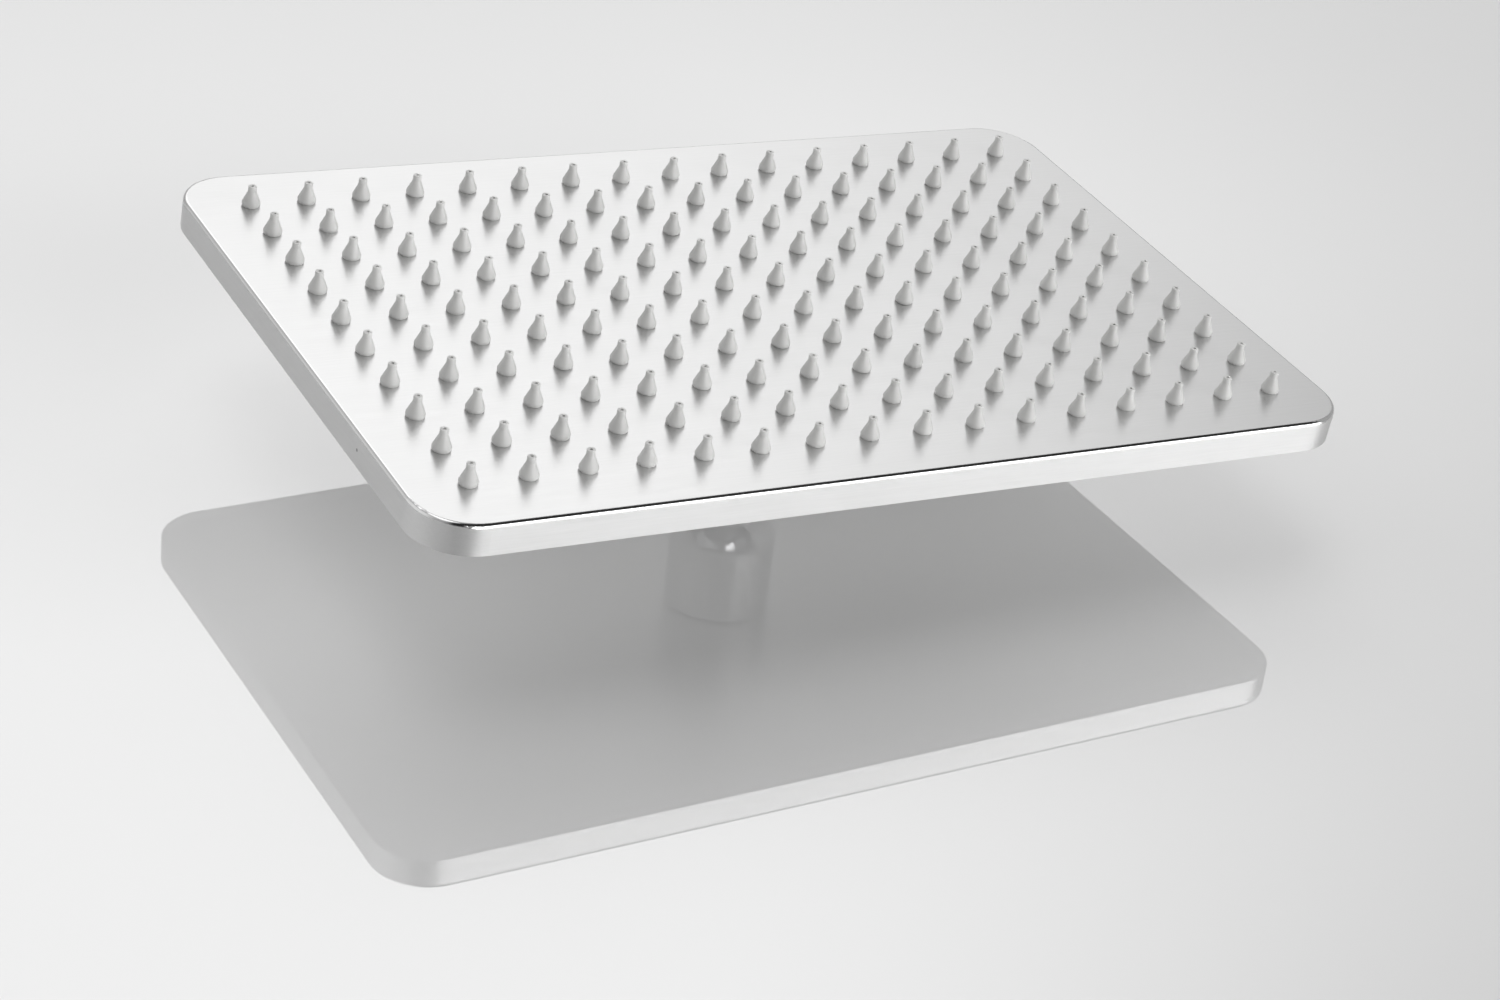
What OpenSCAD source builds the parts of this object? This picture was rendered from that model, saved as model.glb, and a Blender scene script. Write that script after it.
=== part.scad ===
// Rectangular rain shower head with a swivel-ball inlet, standing face up on its inlet.
// X runs along the plate's long side, Y along its short side, Z out of the spray face.
// The origin is on the inlet's axis, in the plane of its open end.

/* [Plate] */
// Length of the plate, along X
plate_l = 300; // [200:1:420]
// Width of the plate, along Y
plate_w = 197; // [140:1:300]
// Thickness of the plate, from its back to its spray face
plate_t = 9.5; // [8.5:0.5:16]
// Radius of the plate's corners, seen from the front
corner_r = 17; // [6:0.5:26]
// Outer radius of the fold between the face and the side band
fold_r = 1.2; // [0.4:0.1:1.6]
// Thickness of the sheet that makes the face and the side band
face_t = 1; // [0.8:0.1:1.5]
// Thickness of the back sheet
back_t = 1; // [0.8:0.1:1.5]

/* [Nozzles] */
// Distance from one nozzle to the next, along a row and along a column
nozzle_pitch = 17.5; // [14:0.5:30]
// Least distance from the plate's edge to the outermost nozzles
nozzle_margin = 18; // [14:0.5:26]
// Height of a nozzle above the face
nozzle_h = 6.4; // [5:0.1:9]
// Height above the face at which the cone meets the tip
cone_h = 4.7; // [3:0.1:4.8]
// Radius of the tip
tip_r = 1.25; // [0.9:0.05:1.8]
// Radius of the jet hole in the tip
jet_r = 0.5; // [0.3:0.05:0.7]
// Radius of the bead that keeps a nozzle in its hole
bead_r = 2.75; // [2.45:0.05:3.2]
// Height of the bead's widest ring above the face
bead_h = 1.05; // [0.6:0.05:1.6]
// Radius of the groove that grips the face sheet
groove_r = 2.1; // [1.8:0.05:2.2]
// Radius of the flange behind the face
flange_r = 3.4; // [3:0.1:4]
// Thickness of the flange behind the face
flange_t = 1.2; // [0.8:0.1:1.6]

/* [Swivel] */
// Radius of the ball
ball_r = 12; // [10:0.5:14]
// Radius of the neck under the ball
neck_r = 5.75; // [5:0.25:6.5]
// Radius of the waterway through the neck and the ball
waterway_r = 4.25; // [3:0.25:4.5]
// Tilt of the head each way about X and about Y, in degrees
tilt = 12; // [5:1:14]
// Thickness of the low-friction ring between the ball and the nut
ring_t = 1.2; // [0.8:0.1:1.6]
// Thickness of the nut's wall around that ring
nut_wall = 2.85; // [2.4:0.05:4]
// Depth of the nut below the ball
nut_lip = 0.5; // [0.5:0.1:3]
// Width of the nut's flat end rim
nut_rim = 2.05; // [1.5:0.05:3]
// Height of the rubber seal above the ball
seal_h = 4.2; // [3:0.1:4.5]
// Radius of the boss's flange inside the plate
boss_flange_r = 19; // [18:0.5:24]
// Thickness of that flange
boss_flange_t = 1.5; // [1:0.1:2]

/* [Inlet] */
// Radius of the wall that holds the half-inch pipe thread
thread_r = 9.3; // [9:0.05:9.6]
// Depth of the thread
thread_depth = 10; // [8:0.5:14]
// Width of the hexagon across its flats
hex_af = 26; // [25:0.5:30]
// Thickness of the inlet's rubber washer
washer_t = 2; // [1.5:0.1:3]
// Radius of the washer's hole
washer_hole_r = 6.2; // [5:0.1:6.8]
// Radius of the flow restrictor
restrictor_r = 7.5; // [7:0.1:8]
// Thickness of the flow restrictor
restrictor_t = 2.1; // [1.5:0.1:4]
// Thickness of the filter screen
screen_t = 0.4; // [0.3:0.1:0.8]
// Height of the shoulder between the hexagon and the neck
shoulder_h = 4; // [3:0.25:6]
// Length of neck left bare between the inlet and the nut
neck_show = 8; // [7:0.25:14]

/* [Inside the plate] */
// Radius of the posts that hold the two sheets apart
post_r = 3; // [2:0.25:4]
// Nozzle spaces from one post to the next
post_every = 4; // [3:1:6]
// Radius of the plate that spreads the incoming water
spreader_r = 15; // [12:0.5:16]
// Thickness of the spreader's sheet
spreader_t = 0.8; // [0.6:0.1:1.2]
// Height left free between the spreader and the nozzles
spreader_gap = 1.5; // [0.5:0.1:2]

/* [Hidden] */
$fn = 64;
// Gap between two pieces that are welded or screwed together
fit = 0.05;
// Running gap between the ball, its rings and what holds them
run = 0.1;
// Gap left between the neck and the nut at full tilt
swing_gap = 0.3;
// Overshoot of a cut past the solid that it is cut from
over = 1;

// The two tilts together lean the head this far from the inlet's axis
lean = acos(cos(tilt) * cos(tilt));

// Radii of the spheres about the ball's centre
ring_in_r = ball_r + run;
ring_out_r = ring_in_r + ring_t;
seat_r = ring_out_r + run;
nut_r = seat_r + nut_wall;
// Angle below the ball's equator at which the nut's seat ends, so that the leaning neck clears it
throat_a = acos((neck_r + swing_gap * cos(lean)) / seat_r) - lean;

// Heights from the inlet's end upwards
screen_z = thread_depth + washer_t;
restrictor_z = screen_z + screen_t;
socket_h = restrictor_z + restrictor_t;
nut_z = socket_h + neck_show;
ball_z = nut_z + nut_lip + ball_r;
back_z = ball_z + ball_r;
inner_z = back_z + back_t;
face_z = back_z + plate_t;
flange_z = face_z - face_t - flange_t;
boss_top_z = inner_z + boss_flange_t;

// The swivel's seal and the boss that holds it
boss_bore_r = ball_r * 0.75;
seal_top = sqrt(ring_in_r * ring_in_r - (boss_bore_r - 0.5) * (boss_bore_r - 0.5));
seal_r = ball_r + 0.5;
boss_wall = 1.8;
boss_r = seal_r + run + boss_wall;
boss_low = 1.2;
nut_top_gap = 0.3;
nut_chamfer = 0.6;

// The inlet's bores
mouth_chamfer = 1;
washer_r = thread_r + 0.6;
hex_chamfer = 1.2;

// The nozzle grid, as many as the margin allows
nozzle_cols = floor((plate_l - 2 * nozzle_margin) / nozzle_pitch) + 1;
nozzle_rows = floor((plate_w - 2 * nozzle_margin) / nozzle_pitch) + 1;
// Radius of the bead's foot on the face, and the steps of its round side
foot_r = groove_r + 0.2;
bead_step = 30;
tip_edge = 0.25;
entry_r = 1.6;
nozzle_fn = 32;

// Outline of the plate, drawn in by inset
module plate_outline(inset) {
    r = corner_r - inset;
    x = plate_l / 2 - corner_r;
    y = plate_w / 2 - corner_r;
    square([2 * x, plate_w - 2 * inset], center = true);
    square([plate_l - 2 * inset, 2 * y], center = true);
    for (sx = [-1, 1], sy = [-1, 1])
        translate([sx * x, sy * y]) circle(r);
}

// Section of the plate's edge, from the corner's centre outwards, with its folded upper edge
module edge_section() {
    difference() {
        square([corner_r, plate_t]);
        translate([corner_r - fold_r, plate_t - fold_r])
            difference() {
                square(fold_r + over);
                circle(fold_r);
            }
    }
}

// Outside of the plate: straight edges and turned corners round a flat middle
module plate_body() {
    x = plate_l / 2 - corner_r;
    y = plate_w / 2 - corner_r;
    translate([-x, -y, 0]) cube([2 * x, 2 * y, plate_t]);
    for (side = [0, 1]) {
        mirror([0, side, 0])
            translate([-x, y, 0]) rotate([90, 0, 90]) linear_extrude(2 * x) edge_section();
        mirror([side, 0, 0])
            translate([x, y, 0]) rotate([90, 0, 0]) linear_extrude(2 * y) edge_section();
    }
    for (sx = [0, 1], sy = [0, 1])
        mirror([sx, 0, 0]) mirror([0, sy, 0])
            translate([x, y, 0]) rotate_extrude(angle = 90) edge_section();
}

// Places its children at every nozzle, in the plane of the face
module at_nozzles() {
    for (i = [0 : nozzle_cols - 1], j = [0 : nozzle_rows - 1])
        translate([
            (i - (nozzle_cols - 1) / 2) * nozzle_pitch,
            (j - (nozzle_rows - 1) / 2) * nozzle_pitch,
            face_z
        ]) children();
}

// Face and side band, folded from one sheet and pierced for the nozzles
module face_pan() {
    color("gainsboro") difference() {
        translate([0, 0, back_z]) plate_body();
        translate([0, 0, back_z - over])
            linear_extrude(plate_t - face_t + over) plate_outline(face_t);
        at_nozzles() translate([0, 0, -face_t - over])
            cylinder(r = groove_r + fit, h = face_t + 2 * over, $fn = nozzle_fn);
    }
}

// Flat back sheet, welded inside the side band
module back_cover() {
    color("silver") translate([0, 0, back_z]) linear_extrude(back_t)
        difference() {
            plate_outline(face_t + fit);
            circle(boss_r + fit);
        }
}

// One soft nozzle: a flange inside, a groove in the sheet, and a beaded cone outside
module nozzle() {
    bead = [for (a = [90 : -bead_step : 0])
        [foot_r + (bead_r - foot_r) * cos(a), bead_h * (1 - sin(a))]];
    rotate_extrude($fn = nozzle_fn) polygon(concat(
        [[entry_r, -face_t - flange_t], [flange_r, -face_t - flange_t], [flange_r, -face_t],
         [groove_r, -face_t], [groove_r, 0]],
        bead,
        [[tip_r, cone_h], [tip_r, nozzle_h - tip_edge], [tip_r - tip_edge, nozzle_h],
         [jet_r, nozzle_h], [jet_r, cone_h]]
    ));
}

// All the nozzles, each pushed into its own hole
module nozzles() {
    color("darkgray") at_nozzles() nozzle();
}

// Posts between the two sheets, each in the middle of four nozzles
module spacer_posts() {
    odd_x = nozzle_cols % 2 / 2;
    odd_y = nozzle_rows % 2 / 2;
    half = floor(post_every / 2);
    last_x = floor((nozzle_cols / 2 - 0.5 - half - odd_x) / post_every);
    last_y = floor((nozzle_rows / 2 - 0.5 - half - odd_y) / post_every);
    color("lightsteelblue")
        for (sx = [-1, 1], sy = [-1, 1], kx = [0 : last_x], ky = [0 : last_y])
            translate([
                sx * (half + odd_x + kx * post_every) * nozzle_pitch,
                sy * (half + odd_y + ky * post_every) * nozzle_pitch,
                inner_z
            ]) cylinder(r = post_r, h = plate_t - face_t - back_t);
}

// Disc on four folded legs over the inlet, which turns the water outwards
module water_spreader() {
    top_z = flange_z - spreader_gap;
    leg_w = 5;
    foot_l = 3.4;
    color("lightslategray") {
        difference() {
            translate([0, 0, top_z - spreader_t]) cylinder(r = spreader_r, h = spreader_t);
            for (a = [0 : 60 : 300]) rotate(a) translate([spreader_r / 2, 0, top_z - spreader_t - over])
                cylinder(r = 1, h = spreader_t + 2 * over, $fn = 24);
        }
        for (a = [45 : 90 : 315]) rotate(a) {
            translate([spreader_r - 1.5, -leg_w / 2, top_z - spreader_t])
                cube([1.5, leg_w, spreader_t]);
            translate([spreader_r, -leg_w / 2, boss_top_z])
                cube([spreader_t, leg_w, top_z - boss_top_z]);
            translate([spreader_r, -leg_w / 2, boss_top_z])
                cube([foot_l, leg_w, spreader_t]);
        }
    }
}

// Turned boss, welded through the back sheet by its flange, with the seal's pocket below
module inlet_boss() {
    pocket_top = ball_z + seal_top + run;
    color("lightgray") difference() {
        union() {
            translate([0, 0, ball_z + boss_low]) cylinder(r = boss_r, h = inner_z - ball_z - boss_low);
            translate([0, 0, inner_z]) cylinder(r = boss_flange_r, h = boss_flange_t);
        }
        translate([0, 0, ball_z]) cylinder(r = seal_r + run, h = pocket_top - ball_z);
        cylinder(r = boss_bore_r, h = boss_top_z + over);
    }
}

// Nut that holds the ball: a threaded skirt above, a round seat and a flared mouth below
module swivel_nut() {
    throat_r = seat_r * cos(throat_a);
    throat_z = ball_z - seat_r * sin(throat_a);
    skirt_z = ball_z + boss_low / 2;
    top_z = back_z - nut_top_gap;
    color("lightgray") difference() {
        rotate_extrude() polygon([
            [0, nut_z], [nut_r - nut_chamfer, nut_z], [nut_r, nut_z + nut_chamfer],
            [nut_r, top_z - nut_chamfer / 2], [nut_r - nut_chamfer / 2, top_z], [0, top_z]
        ]);
        rotate_extrude() polygon([
            [0, nut_z - over], [nut_r - nut_rim, nut_z - over], [nut_r - nut_rim, nut_z],
            [throat_r, throat_z], [throat_r, ball_z], [0, ball_z]
        ]);
        translate([0, 0, ball_z]) sphere(seat_r);
        translate([0, 0, ball_z]) cylinder(r = seat_r, h = skirt_z - ball_z + over);
        translate([0, 0, skirt_z]) cylinder(r = boss_r + fit, h = top_z);
    }
}

// Low-friction ring, round inside and out, between the ball and the nut's seat
module friction_ring() {
    low = ring_out_r * sin(throat_a - tilt);
    high = ring_out_r * sin(tilt + 3);
    color("ivory") translate([0, 0, ball_z]) rotate_extrude()
        intersection() {
            difference() {
                circle(ring_out_r);
                circle(ring_in_r);
            }
            translate([ring_in_r / 2, -low]) square([ring_out_r, low - high]);
        }
}

// Rubber seal in the boss's pocket, hollowed to the ball
module ball_seal() {
    color("dimgray") translate([0, 0, ball_z]) rotate_extrude()
        difference() {
            translate([boss_bore_r - 2, seal_top - seal_h]) square([seal_r - boss_bore_r + 2, seal_h]);
            circle(ring_in_r);
        }
}

// Inlet turned from one bar: hexagon socket, shoulder, neck and ball, with the waterway through it
module ball_stud() {
    hex_r = hex_af / 2 / cos(30);
    color("silver") difference() {
        union() {
            intersection() {
                cylinder(r = hex_r, h = socket_h, $fn = 6);
                rotate_extrude() polygon([
                    [0, 0], [hex_r - hex_chamfer, 0], [hex_r, hex_chamfer / 2],
                    [hex_r, socket_h - hex_chamfer], [hex_af / 2 - 0.3, socket_h], [0, socket_h]
                ]);
            }
            translate([0, 0, socket_h])
                cylinder(r1 = hex_af / 2 - 0.3, r2 = neck_r, h = shoulder_h);
            cylinder(r = neck_r, h = ball_z);
            translate([0, 0, ball_z]) sphere(ball_r);
        }
        translate([0, 0, -over]) cylinder(r = thread_r, h = thread_depth + 2 * over);
        translate([0, 0, -over]) cylinder(r1 = thread_r + mouth_chamfer + over, r2 = thread_r, h = mouth_chamfer + over);
        translate([0, 0, thread_depth]) cylinder(r = washer_r + run, h = washer_t);
        translate([0, 0, screen_z]) cylinder(r = restrictor_r + run, h = screen_t + restrictor_t);
        cylinder(r = waterway_r, h = ball_z + ball_r + over);
    }
}

// Rubber washer that seals on the end of the pipe
module inlet_washer() {
    color("darkslategray") translate([0, 0, thread_depth]) difference() {
        cylinder(r = washer_r, h = washer_t);
        translate([0, 0, -over]) cylinder(r = washer_hole_r, h = washer_t + 2 * over);
    }
}

// Pierced screen that keeps grit out
module filter_screen() {
    hole_r = 0.45;
    hole_pitch = 1.6;
    hole_rings = floor((washer_hole_r - 2 * hole_r) / hole_pitch);
    color("gray") translate([0, 0, screen_z]) difference() {
        cylinder(r = restrictor_r, h = screen_t);
        for (k = [0 : hole_rings], m = [0 : max(6 * k, 1) - 1])
            rotate(k == 0 ? 0 : m * 60 / k) translate([k * hole_pitch, 0, -over])
                cylinder(r = hole_r, h = screen_t + 2 * over, $fn = 16);
    }
}

// Plastic disc that limits the flow through a ring of small holes
module flow_restrictor() {
    hole_r = 0.8;
    color("mediumseagreen") translate([0, 0, restrictor_z]) difference() {
        cylinder(r = restrictor_r, h = restrictor_t);
        translate([0, 0, restrictor_t / 2]) cylinder(r = waterway_r, h = restrictor_t);
        for (a = [0 : 60 : 300]) rotate(a) translate([waterway_r - 2 * hole_r, 0, -over])
            cylinder(r = hole_r, h = restrictor_t + 2 * over, $fn = 24);
    }
}

face_pan();
back_cover();
nozzles();
spacer_posts();
water_spreader();
inlet_boss();
swivel_nut();
friction_ring();
ball_seal();
ball_stud();
inlet_washer();
filter_screen();
flow_restrictor();
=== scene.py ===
"""Looks of a rectangular rain shower head: brushed steel, soft nozzles, swivel inlet and a glossy pale table."""
import math

import bmesh
import bpy
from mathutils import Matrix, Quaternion, Vector


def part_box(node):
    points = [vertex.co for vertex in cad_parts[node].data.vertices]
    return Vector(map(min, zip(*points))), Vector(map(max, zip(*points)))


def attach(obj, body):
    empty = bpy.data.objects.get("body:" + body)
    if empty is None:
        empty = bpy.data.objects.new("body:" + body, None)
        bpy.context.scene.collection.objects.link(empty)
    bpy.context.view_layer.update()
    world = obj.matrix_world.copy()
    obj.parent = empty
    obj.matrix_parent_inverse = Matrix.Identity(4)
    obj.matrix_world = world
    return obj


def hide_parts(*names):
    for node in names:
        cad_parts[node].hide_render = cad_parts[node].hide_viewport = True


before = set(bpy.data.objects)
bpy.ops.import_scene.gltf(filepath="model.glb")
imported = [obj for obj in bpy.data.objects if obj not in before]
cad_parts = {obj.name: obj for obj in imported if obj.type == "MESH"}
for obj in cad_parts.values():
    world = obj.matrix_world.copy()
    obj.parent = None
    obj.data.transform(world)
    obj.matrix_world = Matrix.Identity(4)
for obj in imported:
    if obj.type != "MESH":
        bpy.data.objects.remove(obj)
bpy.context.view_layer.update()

bl_info = {
    "name": "Rain shower head",
    "version": (1, 0, 0),
    "blender": (4, 5, 0),
    "location": "3D View > Sidebar > Shower",
    # Dresses the packed shower head with its finishes, nozzles and stage
    "description": "Dresses the packed shower head with its finishes, nozzles, thread and stage",
    "category": "Object",
}

MM = 0.001

PAN_LOW, PAN_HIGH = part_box("face_pan")
BACK_LOW, BACK_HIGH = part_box("back_cover")
NOZZLE_LOW, NOZZLE_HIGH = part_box("nozzles")
STUD_LOW, STUD_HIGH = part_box("ball_stud")
WASHER_LOW, WASHER_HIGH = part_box("inlet_washer")
FACE_Z = PAN_HIGH.z
SHEET = 1.0 * MM


class ShowerNozzleSizes(bpy.types.PropertyGroup):
    """Sizes of the nozzle grid and of one nozzle."""

    columns: bpy.props.IntProperty(
        name="Columns", description="Nozzles along the plate's long side", default=16, min=1)
    rows: bpy.props.IntProperty(
        name="Rows", description="Nozzles along the plate's short side", default=10, min=1)
    flange_radius: bpy.props.FloatProperty(
        name="Flange radius", description="Radius of the flange behind the face",
        default=3.4 * MM, unit="LENGTH", precision=5)
    flange_thickness: bpy.props.FloatProperty(
        name="Flange thickness", description="Thickness of the flange behind the face",
        default=1.2 * MM, unit="LENGTH", precision=5)
    groove_radius: bpy.props.FloatProperty(
        name="Groove radius", description="Radius of the nozzle where it passes through the face",
        default=2.1 * MM, unit="LENGTH", precision=5)
    foot_radius: bpy.props.FloatProperty(
        name="Foot radius", description="Radius of the bead where it meets the face",
        default=2.5 * MM, unit="LENGTH", precision=5)
    bead_radius: bpy.props.FloatProperty(
        name="Bead radius", description="Widest radius of the bead outside the face",
        default=2.75 * MM, unit="LENGTH", precision=5)
    bead_height: bpy.props.FloatProperty(
        name="Bead height", description="Height of the bead's widest ring above the face",
        default=1.05 * MM, unit="LENGTH", precision=5)
    cone_height: bpy.props.FloatProperty(
        name="Cone height", description="Height at which the cone meets the tip",
        default=4.7 * MM, unit="LENGTH", precision=5)
    tip_radius: bpy.props.FloatProperty(
        name="Tip radius", description="Radius of the tip", default=1.25 * MM, unit="LENGTH", precision=5)
    jet_radius: bpy.props.FloatProperty(
        name="Jet radius", description="Radius of the jet hole", default=0.5 * MM, unit="LENGTH", precision=5)
    lean: bpy.props.FloatProperty(
        name="Lean", description="Largest lean of a soft nozzle off its axis",
        default=math.radians(1.2), subtype="ANGLE")


class ShowerInletSizes(bpy.types.PropertyGroup):
    """Sizes of the pipe thread in the inlet."""

    thread_radius: bpy.props.FloatProperty(
        name="Thread radius", description="Inner radius of the half-inch pipe thread",
        default=9.3 * MM, unit="LENGTH", precision=5)
    thread_depth: bpy.props.FloatProperty(
        name="Thread depth", description="Height of a thread from root to crest",
        default=1.16 * MM, unit="LENGTH", precision=5)
    thread_pitch: bpy.props.FloatProperty(
        name="Thread pitch", description="Distance from one thread to the next",
        default=1.814 * MM, unit="LENGTH", precision=6)


class ShowerColours(bpy.types.PropertyGroup):
    """Colours of the finishes."""

    steel: bpy.props.FloatVectorProperty(
        name="Face steel", description="Brushed steel of the face and the side band",
        subtype="COLOR", size=3, default=(0.76, 0.76, 0.755), min=0, max=1)
    back: bpy.props.FloatVectorProperty(
        name="Back steel", description="Brushed steel of the back sheet",
        subtype="COLOR", size=3, default=(0.70, 0.70, 0.695), min=0, max=1)
    silicone: bpy.props.FloatVectorProperty(
        name="Silicone", description="Milky grey silicone of the nozzles",
        subtype="COLOR", size=3, default=(0.66, 0.66, 0.65), min=0, max=1)
    rubber: bpy.props.FloatVectorProperty(
        name="Rubber", description="Black rubber of the washer and the seal",
        subtype="COLOR", size=3, default=(0.03, 0.03, 0.03), min=0, max=1)
    ring: bpy.props.FloatVectorProperty(
        name="Friction ring", description="Natural acetal of the friction ring",
        subtype="COLOR", size=3, default=(0.80, 0.79, 0.74), min=0, max=1)
    restrictor: bpy.props.FloatVectorProperty(
        name="Restrictor", description="Green plastic of the flow restrictor",
        subtype="COLOR", size=3, default=(0.16, 0.42, 0.25), min=0, max=1)
    table: bpy.props.FloatVectorProperty(
        name="Table", description="Pale table under the head",
        subtype="COLOR", size=3, default=(0.86, 0.86, 0.86), min=0, max=1)


class ShowerCamera(bpy.types.PropertyGroup):
    """Where the camera stands and where it looks."""

    place: bpy.props.FloatVectorProperty(
        name="Place", description="Where the camera stands",
        subtype="TRANSLATION", size=3, default=(-0.4855, -0.7288, 0.4980))
    aim: bpy.props.FloatVectorProperty(
        name="Aim", description="Point of the spray face at the picture's centre",
        subtype="TRANSLATION", size=3, default=(-0.0593, -0.1017, 0.0565))
    roll: bpy.props.FloatProperty(
        name="Roll", description="Turn of the camera about its line of sight",
        default=math.radians(11.76), subtype="ANGLE")
    lens: bpy.props.FloatProperty(
        name="Lens", description="Focal length on a sensor 36 mm wide",
        default=79.5, unit="CAMERA")


class Shader:
    """A node tree of a material or of the world, with short calls to add and join its nodes."""

    def __init__(self, owner):
        owner.use_nodes = True
        self.tree = owner.node_tree
        self.tree.nodes.clear()

    def add(self, kind, values=None, **settings):
        """Adds a node. values maps a socket's name or number to a number, a colour or another socket."""
        node = self.tree.nodes.new(kind)
        for name, value in settings.items():
            setattr(node, name, value)
        for name, value in (values or {}).items():
            if isinstance(value, bpy.types.NodeSocket):
                self.tree.links.new(value, node.inputs[name])
            else:
                node.inputs[name].default_value = value
        return node

    def math(self, operation, *values):
        """Adds a Math node and gives its result."""
        node = self.add("ShaderNodeMath", dict(enumerate(values)), operation=operation)
        return node.outputs[0]

    def vector(self, operation, *values):
        """Adds a Vector Math node and gives its vector, or its number where it has one."""
        node = self.add("ShaderNodeVectorMath", dict(enumerate(values)), operation=operation)
        return node.outputs["Value" if operation in {"DOT_PRODUCT", "LENGTH", "DISTANCE"} else "Vector"]

    def remap(self, value, low, high, to_low, to_high, kind="LINEAR"):
        """Maps a number from one range to another, and keeps it inside."""
        node = self.add("ShaderNodeMapRange", {
            "Value": value, "From Min": low, "From Max": high, "To Min": to_low, "To Max": to_high},
            interpolation_type=kind)
        return node.outputs["Result"]

    def noise(self, coordinates, scale, detail=2.0, roughness=0.5):
        """Adds a noise texture and gives its number."""
        node = self.add("ShaderNodeTexNoise", {
            "Vector": coordinates, "Scale": scale, "Detail": detail, "Roughness": roughness})
        return node.outputs[0]

    def stretched(self, coordinates, scale):
        """Scales coordinates by a different number along each axis."""
        return self.vector("MULTIPLY", coordinates, scale)

    def mix(self, factor, first, second):
        """Mixes two numbers."""
        node = self.add("ShaderNodeMix", {"Factor": factor, "A": first, "B": second}, data_type="FLOAT")
        return node.outputs[0]

    def tint(self, factor, first, second):
        """Mixes two colours."""
        node = self.add("ShaderNodeMix", {0: factor, 6: first, 7: second}, data_type="RGBA")
        return node.outputs[2]


def rgba(colour):
    """Three numbers of a colour as four."""
    return (*colour, 1.0)


def shaded(colour, amount):
    """A colour made lighter or darker by a factor."""
    return rgba([min(1.0, channel * amount) for channel in colour])


BRUSH_LONG = 60.0
BRUSH_FINE = 3200.0
BRUSH_COARSE = 900.0


def brushed_sheet(name, colour, roughness, edge_roughness, marks=()):
    """Sheet steel brushed along its long side, and along the band at its edge."""
    material = bpy.data.materials.new(name)
    s = Shader(material)
    place = s.add("ShaderNodeTexCoord").outputs["Object"]
    normal = s.add("ShaderNodeNewGeometry").outputs["Normal"]
    face = s.add("ShaderNodeVectorTransform", {0: normal}, vector_type="NORMAL",
                 convert_from="WORLD", convert_to="OBJECT").outputs[0]
    sides = s.add("ShaderNodeSeparateXYZ", {0: s.vector("ABSOLUTE", face)})
    end_band = s.remap(sides.outputs["X"], 0.65, 0.76, 0.0, 1.0)
    lines = []
    for fine in (BRUSH_FINE, BRUSH_COARSE):
        along_x = s.noise(s.stretched(place, (BRUSH_LONG, fine, fine)), 1.0, 3.0, 0.6)
        along_y = s.noise(s.stretched(place, (fine, BRUSH_LONG, fine)), 1.0, 3.0, 0.6)
        lines.append(s.mix(end_band, along_x, along_y))
    brush = s.math("ADD", s.math("MULTIPLY", lines[0], 0.6), s.math("MULTIPLY", lines[1], 0.4))
    cloud = s.noise(place, 14.0, 3.0, 0.55)
    shade = s.math("ADD", s.remap(brush, 0.3, 0.7, -0.045, 0.045), s.remap(cloud, 0.3, 0.7, -0.015, 0.015))
    tone = s.tint(s.math("ADD", shade, 0.5), shaded(colour, 0.5), shaded(colour, 1.5))
    for centre, radius in marks:
        gap = s.vector("DISTANCE", place, centre)
        tone = s.tint(s.remap(gap, radius * 0.5, radius, 0.75, 0.0), tone, (0.10, 0.10, 0.10, 1.0))
    around = s.vector("CROSS_PRODUCT", (0.0, 0.0, 1.0), face)
    flat = s.remap(sides.outputs["Z"], 0.97, 0.999, 0.0, 1.0)
    upright = s.remap(sides.outputs["Z"], 0.05, 0.25, 1.0, 0.0)
    grain = s.add("ShaderNodeMix", {"Factor": flat, 4: around, 5: (1.0, 0.0, 0.0)},
                  data_type="VECTOR").outputs[1]
    tangent = s.add("ShaderNodeVectorTransform", {0: grain}, vector_type="VECTOR",
                    convert_from="OBJECT", convert_to="WORLD").outputs[0]
    bump = s.add("ShaderNodeBump", {"Strength": 0.1, "Distance": 0.00002, "Height": brush})
    rough = s.math("ADD", s.remap(brush, 0.3, 0.7, -0.04, 0.04), s.mix(flat, s.mix(upright, 0.16, edge_roughness), roughness))
    shader = s.add("ShaderNodeBsdfPrincipled", {
        "Base Color": tone, "Metallic": 1.0, "Roughness": rough, "Anisotropic": 0.6,
        "Anisotropic Rotation": 0.25,
        "Tangent": s.vector("NORMALIZE", tangent), "Normal": bump.outputs[0]})
    s.add("ShaderNodeOutputMaterial", {0: shader.outputs[0]})
    return material


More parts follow.
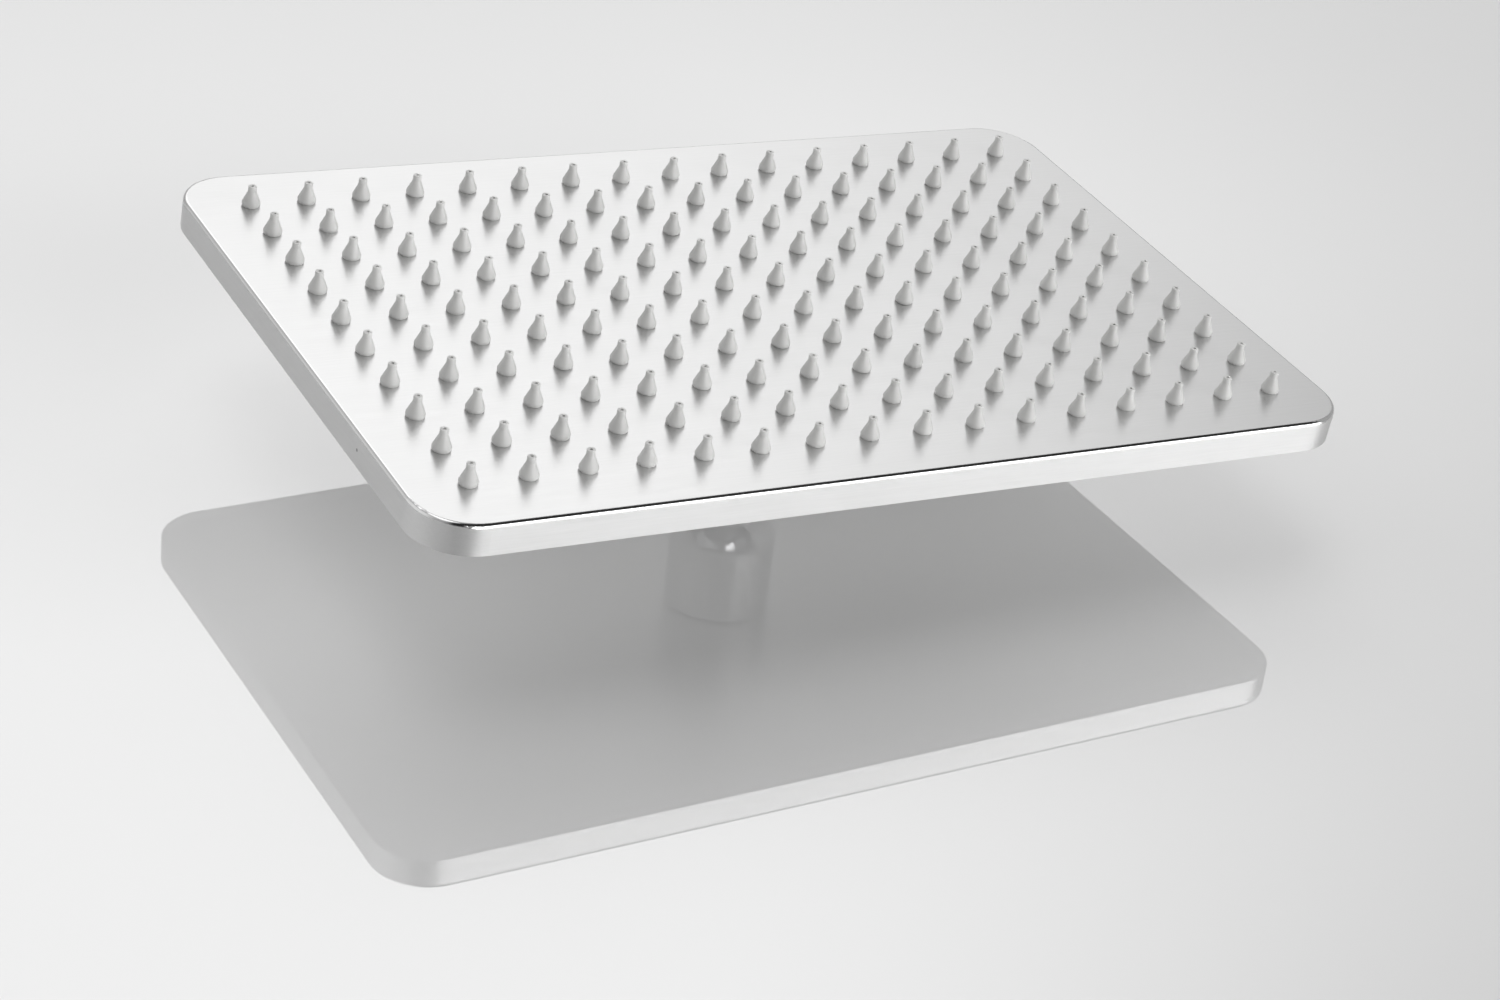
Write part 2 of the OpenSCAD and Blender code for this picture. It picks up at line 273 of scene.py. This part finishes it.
def turned_metal(name, colour, roughness):
    """Metal turned on a lathe about the inlet's axis, with fine rings."""
    material = bpy.data.materials.new(name)
    s = Shader(material)
    place = s.add("ShaderNodeTexCoord").outputs["Object"]
    parts = s.add("ShaderNodeSeparateXYZ", {0: place})
    radius = s.vector("LENGTH", s.vector("MULTIPLY", place, (1.0, 1.0, 0.0)))
    ring_place = s.add("ShaderNodeCombineXYZ", {0: radius, 1: parts.outputs["Z"], 2: 0.0}).outputs[0]
    rings = s.noise(ring_place, 5200.0, 2.0, 0.6)
    cloud = s.noise(place, 160.0, 2.0, 0.5)
    shade = s.math("ADD", s.remap(rings, 0.3, 0.7, -0.04, 0.04), s.remap(cloud, 0.3, 0.7, -0.02, 0.02))
    tone = s.tint(s.math("ADD", shade, 0.5), shaded(colour, 0.5), shaded(colour, 1.5))
    tangent = s.add("ShaderNodeTangent", direction_type="RADIAL", axis="Z").outputs[0]
    bump = s.add("ShaderNodeBump", {"Strength": 0.2, "Distance": 0.00002, "Height": rings})
    rough = s.math("ADD", s.remap(rings, 0.3, 0.7, -0.03, 0.03), roughness)
    shader = s.add("ShaderNodeBsdfPrincipled", {
        "Base Color": tone, "Metallic": 1.0, "Roughness": rough, "Anisotropic": 0.4,
        "Anisotropic Rotation": 0.25,
        "Tangent": tangent, "Normal": bump.outputs[0]})
    s.add("ShaderNodeOutputMaterial", {0: shader.outputs[0]})
    return material


def soft_silicone(name, colour):
    """Milky silicone that lets some light into its thin tips."""
    material = bpy.data.materials.new(name)
    s = Shader(material)
    place = s.add("ShaderNodeTexCoord").outputs["Object"]
    cloud = s.noise(place, 60.0, 2.0, 0.5)
    grain = s.noise(place, 2500.0, 2.0, 0.6)
    tone = s.tint(s.remap(cloud, 0.3, 0.7, 0.0, 1.0), shaded(colour, 0.93), shaded(colour, 1.07))
    bump = s.add("ShaderNodeBump", {"Strength": 0.15, "Distance": 0.00003, "Height": grain})
    shader = s.add("ShaderNodeBsdfPrincipled", {
        "Base Color": tone, "Roughness": s.remap(grain, 0.3, 0.7, 0.32, 0.42), "IOR": 1.41,
        "Subsurface Weight": 0.6, "Subsurface Radius": (1.0, 1.0, 1.0), "Subsurface Scale": 0.0012,
        "Normal": bump.outputs[0]})
    s.add("ShaderNodeOutputMaterial", {0: shader.outputs[0]})
    return material


def moulded(name, colour, roughness, grain_scale=1800.0):
    """Moulded rubber or plastic with a faint grain."""
    material = bpy.data.materials.new(name)
    s = Shader(material)
    place = s.add("ShaderNodeTexCoord").outputs["Object"]
    grain = s.noise(place, grain_scale, 3.0, 0.6)
    cloud = s.noise(place, 120.0, 2.0, 0.5)
    tone = s.tint(s.remap(cloud, 0.3, 0.7, 0.0, 1.0), shaded(colour, 0.9), shaded(colour, 1.1))
    bump = s.add("ShaderNodeBump", {"Strength": 0.2, "Distance": 0.00003, "Height": grain})
    shader = s.add("ShaderNodeBsdfPrincipled", {
        "Base Color": tone, "Roughness": s.remap(grain, 0.3, 0.7, roughness - 0.05, roughness + 0.05),
        "Normal": bump.outputs[0]})
    s.add("ShaderNodeOutputMaterial", {0: shader.outputs[0]})
    return material


def dress(node_name, material):
    """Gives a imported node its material."""
    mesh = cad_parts[node_name].data
    mesh.materials.clear()
    mesh.materials.append(material)


def add_object(name, mesh):
    """Links a mesh to the scene as an object at the origin."""
    piece = bpy.data.objects.new(name, mesh)
    bpy.context.scene.collection.objects.link(piece)
    return piece


def lathe(name, profile, segments):
    """Turns a closed list of (radius, height) points about Z into a closed mesh."""
    shape = bmesh.new()
    loops = []
    for radius, height in profile:
        loops.append([shape.verts.new((
            radius * math.cos(2 * math.pi * k / segments),
            radius * math.sin(2 * math.pi * k / segments), height)) for k in range(segments)])
    for i, loop in enumerate(loops):
        other = loops[(i + 1) % len(loops)]
        for k in range(segments):
            n = (k + 1) % segments
            shape.faces.new((loop[k], loop[n], other[n], other[k]))
    bmesh.ops.recalc_face_normals(shape, faces=shape.faces)
    mesh = bpy.data.meshes.new(name)
    shape.to_mesh(mesh)
    shape.free()
    return mesh


def smooth(mesh, angle):
    """Shades a mesh smooth, with edges kept where it turns by more than an angle in degrees."""
    mesh.shade_smooth()
    mesh.set_sharp_from_angle(angle=math.radians(angle))


class SHOWER_OT_plate(bpy.types.Operator):
    """Brushed steel on the folded face and on the back sheet."""

    bl_idname = "shower.plate"
    bl_label = "Plate"

    def execute(self, context):
        colours = context.scene.shower_colours
        dress("face_pan", brushed_sheet("brushed_face_steel", colours.steel, 0.32, 0.44, EDGE_MARKS))
        dress("back_cover", brushed_sheet("brushed_back_steel", colours.back, 0.32, 0.44))
        return {"FINISHED"}


BAND_MIDDLE = (PAN_LOW.z + PAN_HIGH.z) / 2
EDGE_MARKS = (
    ((PAN_LOW.x, -0.050, BAND_MIDDLE), 0.6 * MM),
)


def nozzle_profile(sizes):
    """Section of one nozzle about its own axis, with the face at height 0."""
    top = NOZZLE_HIGH.z - FACE_Z
    tip_edge = 0.25 * MM
    steps = 4
    bead = []
    for k in range(steps + 1):
        a = math.pi / 2 * (1 - k / steps)
        bead.append((sizes.foot_radius + (sizes.bead_radius - sizes.foot_radius) * math.cos(a),
                     sizes.bead_height * (1 - math.sin(a))))
    shoulder = 0.2 * MM
    slope = (sizes.bead_radius - sizes.tip_radius) / (sizes.cone_height - sizes.bead_height)
    return [
        (1.6 * MM, -SHEET - sizes.flange_thickness),
        (sizes.flange_radius, -SHEET - sizes.flange_thickness),
        (sizes.flange_radius, -SHEET),
        (sizes.groove_radius, -SHEET),
        (sizes.groove_radius, 0.0),
        *bead,
        (sizes.bead_radius - slope * shoulder * 0.5, sizes.bead_height + shoulder),
        (sizes.tip_radius + slope * shoulder, sizes.cone_height - shoulder),
        (sizes.tip_radius, sizes.cone_height + shoulder),
        (sizes.tip_radius, top - tip_edge),
        (sizes.tip_radius - tip_edge * 0.3, top - tip_edge * 0.3),
        (sizes.tip_radius - tip_edge, top),
        (sizes.jet_radius, top),
        (sizes.jet_radius, sizes.cone_height),
    ]


def nozzle_tree(nozzle, material):
    """Geometry nodes that set a nozzle on every point of a grid, each with a small lean of its own."""
    tree = bpy.data.node_groups.new("nozzle_grid", "GeometryNodeTree")
    face = tree.interface
    face.new_socket("Geometry", in_out="OUTPUT", socket_type="NodeSocketGeometry")
    for name, kind in (("Columns", "Int"), ("Rows", "Int"), ("Pitch", "Float"),
                       ("Face height", "Float"), ("Lean", "Float")):
        face.new_socket(name, in_out="INPUT", socket_type=f"NodeSocket{kind}")
    nodes = tree.nodes
    link = tree.links.new
    inputs = nodes.new("NodeGroupInput")
    spans = []
    for name in ("Columns", "Rows"):
        less = nodes.new("ShaderNodeMath")
        less.operation = "SUBTRACT"
        less.inputs[1].default_value = 1.0
        link(inputs.outputs[name], less.inputs[0])
        span = nodes.new("ShaderNodeMath")
        span.operation = "MULTIPLY"
        link(less.outputs[0], span.inputs[0])
        link(inputs.outputs["Pitch"], span.inputs[1])
        spans.append(span.outputs[0])
    grid = nodes.new("GeometryNodeMeshGrid")
    link(spans[0], grid.inputs["Size X"])
    link(spans[1], grid.inputs["Size Y"])
    link(inputs.outputs["Columns"], grid.inputs["Vertices X"])
    link(inputs.outputs["Rows"], grid.inputs["Vertices Y"])
    height = nodes.new("ShaderNodeCombineXYZ")
    link(inputs.outputs["Face height"], height.inputs["Z"])
    lift = nodes.new("GeometryNodeTransform")
    link(grid.outputs["Mesh"], lift.inputs["Geometry"])
    link(height.outputs[0], lift.inputs["Translation"])
    least = nodes.new("ShaderNodeMath")
    least.operation = "MULTIPLY"
    least.inputs[1].default_value = -1.0
    link(inputs.outputs["Lean"], least.inputs[0])
    random = nodes.new("FunctionNodeRandomValue")
    random.data_type = "FLOAT_VECTOR"
    random.inputs["Seed"].default_value = 7
    for source, target in ((least.outputs[0], 0), (inputs.outputs["Lean"], 1)):
        both = nodes.new("ShaderNodeCombineXYZ")
        link(source, both.inputs["X"])
        link(source, both.inputs["Y"])
        link(both.outputs[0], random.inputs[target])
    single = nodes.new("GeometryNodeObjectInfo")
    single.inputs["Object"].default_value = nozzle
    single.inputs["As Instance"].default_value = True
    each = nodes.new("GeometryNodeInstanceOnPoints")
    link(lift.outputs["Geometry"], each.inputs["Points"])
    link(single.outputs["Geometry"], each.inputs["Instance"])
    link(random.outputs[0], each.inputs["Rotation"])
    real = nodes.new("GeometryNodeRealizeInstances")
    link(each.outputs["Instances"], real.inputs["Geometry"])
    paint = nodes.new("GeometryNodeSetMaterial")
    paint.inputs["Material"].default_value = material
    link(real.outputs["Geometry"], paint.inputs["Geometry"])
    output = nodes.new("NodeGroupOutput")
    link(paint.outputs["Geometry"], output.inputs["Geometry"])
    return tree


def grown(name, tree, values):
    """Runs a node tree with its named inputs and gives the result as a plain mesh object."""
    base = add_object(name + "_base", bpy.data.meshes.new(name + "_base"))
    modifier = base.modifiers.new(name, "NODES")
    modifier.node_group = tree
    for item in tree.interface.items_tree:
        if item.in_out == "INPUT" and item.name in values:
            modifier[item.identifier] = values[item.name]
    graph = bpy.context.evaluated_depsgraph_get()
    mesh = bpy.data.meshes.new_from_object(base.evaluated_get(graph), depsgraph=graph)
    bpy.data.objects.remove(base)
    mesh.name = name
    return add_object(name, mesh)


class SHOWER_OT_nozzles(bpy.types.Operator):
    """Grid of soft nozzles, each gripping its hole in the face."""

    bl_idname = "shower.nozzles"
    bl_label = "Nozzles"

    def execute(self, context):
        sizes = context.scene.shower_nozzle
        pitch = (NOZZLE_HIGH.x - NOZZLE_LOW.x - 2 * sizes.flange_radius) / (sizes.columns - 1)
        material = soft_silicone("milky_silicone", context.scene.shower_colours.silicone)
        mesh = lathe("one_nozzle", nozzle_profile(sizes), 28)
        smooth(mesh, 40)
        single = add_object("one_nozzle", mesh)
        tree = nozzle_tree(single, material)
        nozzles = grown("silicone_nozzles", tree, {
            "Columns": sizes.columns, "Rows": sizes.rows, "Pitch": pitch,
            "Face height": FACE_Z, "Lean": sizes.lean})
        bpy.data.objects.remove(single)
        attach(nozzles, "head")
        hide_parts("nozzles")
        return {"FINISHED"}


class SHOWER_OT_swivel(bpy.types.Operator):
    """Finishes of the boss, the nut and the rings round the ball."""

    bl_idname = "shower.swivel"
    bl_label = "Swivel"

    def execute(self, context):
        colours = context.scene.shower_colours
        turned = turned_metal("turned_steel", colours.back, 0.26)
        dress("inlet_boss", turned)
        dress("swivel_nut", turned)
        dress("friction_ring", moulded("natural_acetal", colours.ring, 0.4))
        dress("ball_seal", moulded("seal_rubber", colours.rubber, 0.6))
        return {"FINISHED"}


class SHOWER_OT_inlet(bpy.types.Operator):
    """Finishes of the inlet and of what sits in its socket."""

    bl_idname = "shower.inlet"
    bl_label = "Inlet"

    def execute(self, context):
        colours = context.scene.shower_colours
        dress("ball_stud", turned_metal("chromed_brass", (0.80, 0.80, 0.81), 0.12))
        dress("inlet_washer", moulded("washer_rubber", colours.rubber, 0.6))
        dress("filter_screen", turned_metal("screen_steel", (0.62, 0.62, 0.62), 0.35))
        dress("flow_restrictor", moulded("restrictor_plastic", colours.restrictor, 0.4))
        return {"FINISHED"}


class SHOWER_OT_inner(bpy.types.Operator):
    """Finishes of the posts and the spreader inside the plate."""

    bl_idname = "shower.inner"
    bl_label = "Inner pieces"

    def execute(self, context):
        inner = turned_metal("mill_steel", (0.60, 0.61, 0.62), 0.38)
        dress("spacer_posts", inner)
        dress("water_spreader", inner)
        return {"FINISHED"}


TABLE_NORMAL = Vector((-0.0264, 0.0275, 0.9993))
ROOM_LEVEL = 0.47
SOFT_LIGHTS = (
    {"azimuth": 18, "half": 12, "fade": 27, "low": 19, "high": 50, "rise": 9, "level": 1.3},
    {"azimuth": 148, "half": 24, "fade": 12, "low": -20, "high": 30, "rise": 7, "level": 4.6},
    {"azimuth": -64, "half": 14, "fade": 34, "low": -20, "high": 45, "rise": 10, "level": 0.5},
    {"azimuth": -55, "half": 50, "fade": 20, "low": 60, "high": 140, "rise": 8, "level": 1.2},
)
DARK_GAPS = (
    {"azimuth": 210, "half": 8, "fade": 24, "low": -20, "high": 60, "rise": 10, "level": 0.95},
    {"azimuth": 140, "half": 80, "fade": 20, "low": 38, "high": 140, "rise": 5, "level": 0.96},
)


def table_material(colour):
    """Pale glossy table: a soft white below a clear mirror layer."""
    material = bpy.data.materials.new("glossy_table")
    s = Shader(material)
    place = s.add("ShaderNodeTexCoord").outputs["Object"]
    cloud = s.noise(place, 1.5, 2.0, 0.5)
    tone = s.tint(cloud, shaded(colour, 0.97), shaded(colour, 1.03))
    matt = s.add("ShaderNodeBsdfDiffuse", {"Color": tone})
    mirror = s.add("ShaderNodeBsdfGlossy", {"Color": (1.0, 1.0, 1.0, 1.0), "Roughness": 0.02})
    both = s.add("ShaderNodeMixShader", {0: 0.22, 1: matt.outputs[0], 2: mirror.outputs[0]})
    s.add("ShaderNodeOutputMaterial", {0: both.outputs[0]})
    return material


def light_window(s, look, light):
    """Share of one soft light in a direction: 1 inside its window, 0 far from it."""
    turn = math.radians(light["azimuth"])
    ahead = s.vector("DOT_PRODUCT", look, (math.sin(turn), math.cos(turn), 0.0))
    aside = s.vector("DOT_PRODUCT", look, (math.cos(turn), -math.sin(turn), 0.0))
    off = s.math("ABSOLUTE", s.math("ARCTAN2", aside, ahead))
    height = s.math("ARCSINE", s.add("ShaderNodeSeparateXYZ", {0: look}).outputs["Z"])
    half, fade, low, high, rise = (math.radians(light[name]) for name in
                                   ("half", "fade", "low", "high", "rise"))
    across = s.remap(off, half, half + fade, 1.0, 0.0, "SMOOTHSTEP")
    bottom = s.remap(height, low - rise, low + rise, 0.0, 1.0, "SMOOTHSTEP")
    top = s.remap(height, high - rise, high + rise, 1.0, 0.0, "SMOOTHSTEP")
    return s.math("MULTIPLY", across, s.math("MULTIPLY", bottom, top))


def soft_world():
    """A pale room with broad soft lights, and a gap between them where the camera stands."""
    world = bpy.data.worlds.new("pale_room")
    s = Shader(world)
    look = s.vector("NORMALIZE", s.add("ShaderNodeTexCoord").outputs["Generated"])
    level = ROOM_LEVEL
    for light in SOFT_LIGHTS:
        level = s.math("ADD", s.math("MULTIPLY", light_window(s, look, light), light["level"]), level)
    for gap in DARK_GAPS:
        share = s.math("MULTIPLY", light_window(s, look, gap), gap["level"])
        level = s.math("MULTIPLY", level, s.math("SUBTRACT", 1.0, share))
    shader = s.add("ShaderNodeBackground", {"Color": (1.0, 1.0, 1.0, 1.0), "Strength": level})
    s.add("ShaderNodeOutputWorld", {0: shader.outputs[0]})
    bpy.context.scene.world = world


def softbox(name, place, aim, size, power):
    """A square lamp that faces a point."""
    lamp = bpy.data.lights.new(name, "AREA")
    lamp.shape = "RECTANGLE"
    lamp.size, lamp.size_y = size
    lamp.energy = power
    holder = bpy.data.objects.new(name, lamp)
    bpy.context.scene.collection.objects.link(holder)
    holder.location = place
    holder.rotation_mode = "QUATERNION"
    holder.rotation_quaternion = (Vector(aim) - Vector(place)).to_track_quat("-Z", "Y")
    return holder


class SHOWER_OT_stage(bpy.types.Operator):
    """Table, room light and camera."""

    bl_idname = "shower.stage"
    bl_label = "Stage"

    def execute(self, context):
        reach = 6.0
        mesh = bpy.data.meshes.new("table")
        mesh.from_pydata([(-reach, -reach, 0), (reach, -reach, 0), (reach, reach, 0), (-reach, reach, 0)],
                         [], [(0, 1, 2, 3)])
        table = add_object("table", mesh)
        table.rotation_mode = "QUATERNION"
        table.rotation_quaternion = TABLE_NORMAL.to_track_quat("Z", "Y")
        table.location = (0.0, 0.0, -0.5 * MM)
        mesh.materials.append(table_material(context.scene.shower_colours.table))
        soft_world()
        view = context.scene.shower_camera
        lens = bpy.data.cameras.new("camera")
        lens.lens = view.lens
        lens.sensor_width = 36.0
        lens.clip_start = 0.01
        camera = bpy.data.objects.new("camera", lens)
        bpy.context.scene.collection.objects.link(camera)
        place, aim = Vector(view.place), Vector(view.aim)
        camera.location = place
        camera.rotation_mode = "QUATERNION"
        camera.rotation_quaternion = (aim - place).to_track_quat("-Z", "Y") @ Quaternion((0, 0, 1), view.roll)
        context.scene.camera = camera
        context.scene.view_settings.view_transform = "Standard"
        return {"FINISHED"}


class SHOWER_PT_panel(bpy.types.Panel):
    """Buttons that dress the shower head, in the order they are used."""

    bl_idname = "SHOWER_PT_panel"
    bl_label = "Rain shower head"
    bl_space_type = "VIEW_3D"
    bl_region_type = "UI"
    bl_category = "Shower"

    def draw(self, context):
        for operator in OPERATORS:
            self.layout.operator(operator.bl_idname)
        for group in ("shower_nozzle", "shower_inlet", "shower_colours", "shower_camera"):
            settings = getattr(context.scene, group)
            box = self.layout.box()
            for name in settings.__annotations__:
                box.prop(settings, name)


OPERATORS = (SHOWER_OT_plate, SHOWER_OT_nozzles, SHOWER_OT_swivel, SHOWER_OT_inlet,
             SHOWER_OT_inner, SHOWER_OT_stage)
GROUPS = {
    "shower_nozzle": ShowerNozzleSizes,
    "shower_inlet": ShowerInletSizes,
    "shower_colours": ShowerColours,
    "shower_camera": ShowerCamera,
}


def register():
    """Registers the settings, the operators and the panel."""
    for name, group in GROUPS.items():
        bpy.utils.register_class(group)
        setattr(bpy.types.Scene, name, bpy.props.PointerProperty(type=group))
    for operator in OPERATORS:
        bpy.utils.register_class(operator)
    bpy.utils.register_class(SHOWER_PT_panel)


def unregister():
    """Takes back what register added."""
    bpy.utils.unregister_class(SHOWER_PT_panel)
    for operator in reversed(OPERATORS):
        bpy.utils.unregister_class(operator)
    for name, group in GROUPS.items():
        delattr(bpy.types.Scene, name)
        bpy.utils.unregister_class(group)


def main():
    """Dresses the whole object."""
    register()
    bpy.ops.shower.plate()
    bpy.ops.shower.nozzles()
    bpy.ops.shower.swivel()
    bpy.ops.shower.inlet()
    bpy.ops.shower.inner()
    bpy.ops.shower.stage()


if __name__ == "__main__":
    main()
